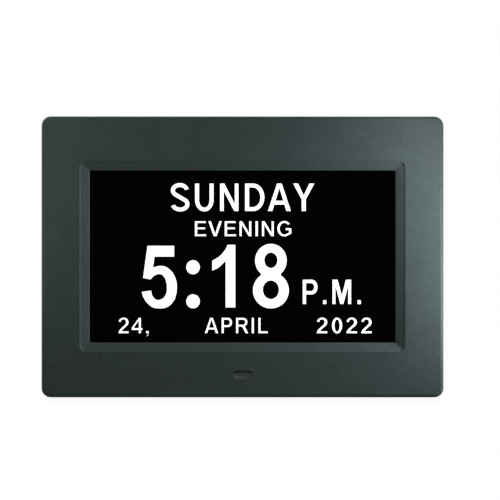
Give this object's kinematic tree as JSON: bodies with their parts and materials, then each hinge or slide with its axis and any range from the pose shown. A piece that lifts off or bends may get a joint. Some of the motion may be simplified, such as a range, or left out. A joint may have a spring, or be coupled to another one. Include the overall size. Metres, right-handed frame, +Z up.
{
  "type": "day clock",
  "caption": "Free-standing digital day clock: wide screen in a dark moulded frame with mitred inner slopes, leaning back on a folding rear leg, with control keys and sockets behind.",
  "frame": {"origin": "middle of the footprint, on the surface that the clock stands on", "axes": "+X to the right across the face, +Y from the face to the back, +Z up; the face leans back by 18 degrees"},
  "size_m": [0.2038, 0.077, 0.1381],
  "materials": {
    "case_plastic": "dark grey ABS with a fine moulded texture",
    "ir_filter": "smoked infrared filter",
    "foot_rubber": "soft black rubber",
    "screw_steel": "black zinc",
    "bright_steel": "tinned or stainless steel",
    "screen_glass": "black display with an anti-glare polariser",
    "black_foam": "black foam tape",
    "chip_black": "moulded epoxy",
    "board_green": "green solder mask",
    "light_plastic": "white moulded plastic",
    "clear_acrylic": "clear acrylic sheet",
    "capacitor_can": "bare can",
    "flex_amber": "polyimide flex",
    "cable_grey": "grey ribbon",
    "cone_paper": "black paper",
    "key_plastic": "satin moulded plastic"
  },
  "bodies": {
    "case": {"front_bezel": "case_plastic", "rear_cover": "case_plastic", "rear_cover_screws": "screw_steel", "rubber_feet": "foot_rubber", "ir_window": "ir_filter", "ir_receiver": "chip_black", "ir_board": "board_green", "ir_cable": "cable_grey", "screen_gasket": "black_foam", "lcd_front_frame": "bright_steel", "lcd_panel": "screen_glass", "panel_driver_chip": "chip_black", "panel_flex": "flex_amber", "backlight_frame": "light_plastic", "optical_films": "clear_acrylic", "light_guide": "clear_acrylic", "led_strip": "light_plastic", "reflector_sheet": "light_plastic", "lcd_back_plate": "bright_steel", "lcd_brackets": "bright_steel", "lcd_bracket_screws": "screw_steel", "main_board": "board_green", "main_board_screws": "screw_steel", "processor": "chip_black", "memory_chips": "chip_black", "crystal": "bright_steel", "capacitors": "capacitor_can", "inductor": "chip_black", "panel_connector": "light_plastic", "coin_cell_holder": "light_plastic", "coin_cell": "bright_steel", "dc_jack": "chip_black", "dc_jack_pin": "bright_steel", "usb_socket": "bright_steel", "usb_tongue": "light_plastic", "card_socket": "bright_steel", "key_board": "board_green", "key_switches": "chip_black", "key_cable": "cable_grey", "small_screws": "screw_steel", "speaker_frame": "bright_steel", "speaker_magnet": "chip_black", "speaker_cone": "cone_paper", "speaker_gasket": "black_foam", "speaker_leads": "cable_grey", "hinge_pins": "bright_steel"},
    "stand": {"stand_leg": "case_plastic", "leg_sole": "foot_rubber"},
    "power_key": {"key_power": "key_plastic", "plunger_power": "key_plastic"},
    "menu_key": {"key_menu": "key_plastic", "plunger_menu": "key_plastic"},
    "up_key": {"key_up": "key_plastic", "plunger_up": "key_plastic"},
    "down_key": {"key_down": "key_plastic", "plunger_down": "key_plastic"},
    "back_key": {"key_back": "key_plastic", "plunger_back": "key_plastic"},
    "enter_key": {"key_enter": "key_plastic", "plunger_enter": "key_plastic"}
  },
  "joints": [
    {"name": "stand_fold", "type": "hinge", "parent": "case", "child": "stand", "pos_m": [0, 0.01371, 0.0896], "axis": [-1, 0, 0], "range_deg": [0, 32]},
    {"name": "power_press", "type": "slide", "parent": "case", "child": "power_key", "axis": [0, -0.9511, 0.309], "range_m": [0, 0.0004], "stiffness_N_per_m": 800},
    {"name": "menu_press", "type": "slide", "parent": "case", "child": "menu_key", "axis": [0, -0.9511, 0.309], "range_m": [0, 0.0004], "stiffness_N_per_m": 800},
    {"name": "up_press", "type": "slide", "parent": "case", "child": "up_key", "axis": [0, -0.9511, 0.309], "range_m": [0, 0.0004], "stiffness_N_per_m": 800},
    {"name": "down_press", "type": "slide", "parent": "case", "child": "down_key", "axis": [0, -0.9511, 0.309], "range_m": [0, 0.0004], "stiffness_N_per_m": 800},
    {"name": "back_press", "type": "slide", "parent": "case", "child": "back_key", "axis": [0, -0.9511, 0.309], "range_m": [0, 0.0004], "stiffness_N_per_m": 800},
    {"name": "enter_press", "type": "slide", "parent": "case", "child": "enter_key", "axis": [0, -0.9511, 0.309], "range_m": [0, 0.0004], "stiffness_N_per_m": 800}
  ]
}
